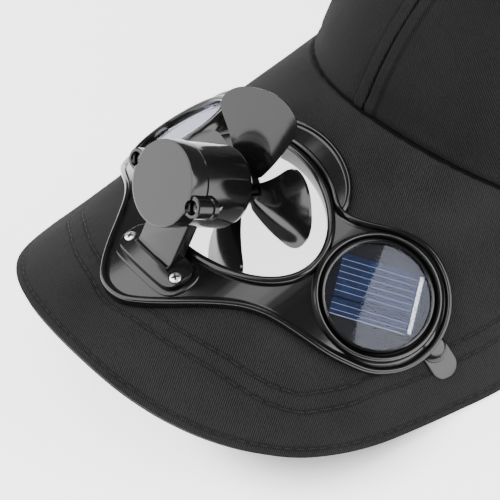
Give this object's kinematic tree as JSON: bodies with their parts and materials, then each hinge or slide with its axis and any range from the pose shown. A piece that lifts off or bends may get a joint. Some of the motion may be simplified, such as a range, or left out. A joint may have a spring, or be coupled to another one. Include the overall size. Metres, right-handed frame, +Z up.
{
  "type": "solar fan hat",
  "caption": "Cloth cap with a long curved peak that carries a solar powered fan blowing back through an oval hole onto the face.",
  "frame": {"origin": "centre of the bounding box's bottom, on the table the cap rests on", "axes": "+Z up, -Y towards the front edge of the peak, +X across the cap"},
  "size_m": [0.1642, 0.311, 0.1122],
  "materials": {
    "crown_cloth": "matte cotton twill",
    "peak_cloth": "matte cotton twill over a stiff board",
    "frame_plastic": "polished black moulding",
    "motor_plastic": "satin black moulding",
    "fan_plastic": "satin black moulding",
    "solar_cell": "dark blue silicon with silver lines",
    "clear_cover": "clear gloss",
    "zinc": "bright zinc"
  },
  "bodies": {
    "hat": {"crown": "crown_cloth", "top_button": "crown_cloth", "peak": "peak_cloth", "fan_frame": "frame_plastic", "solar_cell_left": "solar_cell", "solar_cell_right": "solar_cell", "solar_cover_left": "clear_cover", "solar_cover_right": "clear_cover", "bracket": "motor_plastic", "bracket_screw_left": "zinc", "bracket_screw_right": "zinc", "motor_housing": "motor_plastic", "housing_cap": "motor_plastic", "housing_screw_left": "zinc", "housing_screw_right": "zinc"},
    "rotor": {"fan": "fan_plastic", "fan_shaft": "zinc"}
  },
  "joints": [
    {"name": "fan_spin", "type": "hinge", "parent": "hat", "child": "rotor", "pos_m": [0, -0.08362, 0.05395], "axis": [0, 0.8144, -0.5803], "continuous": true}
  ]
}
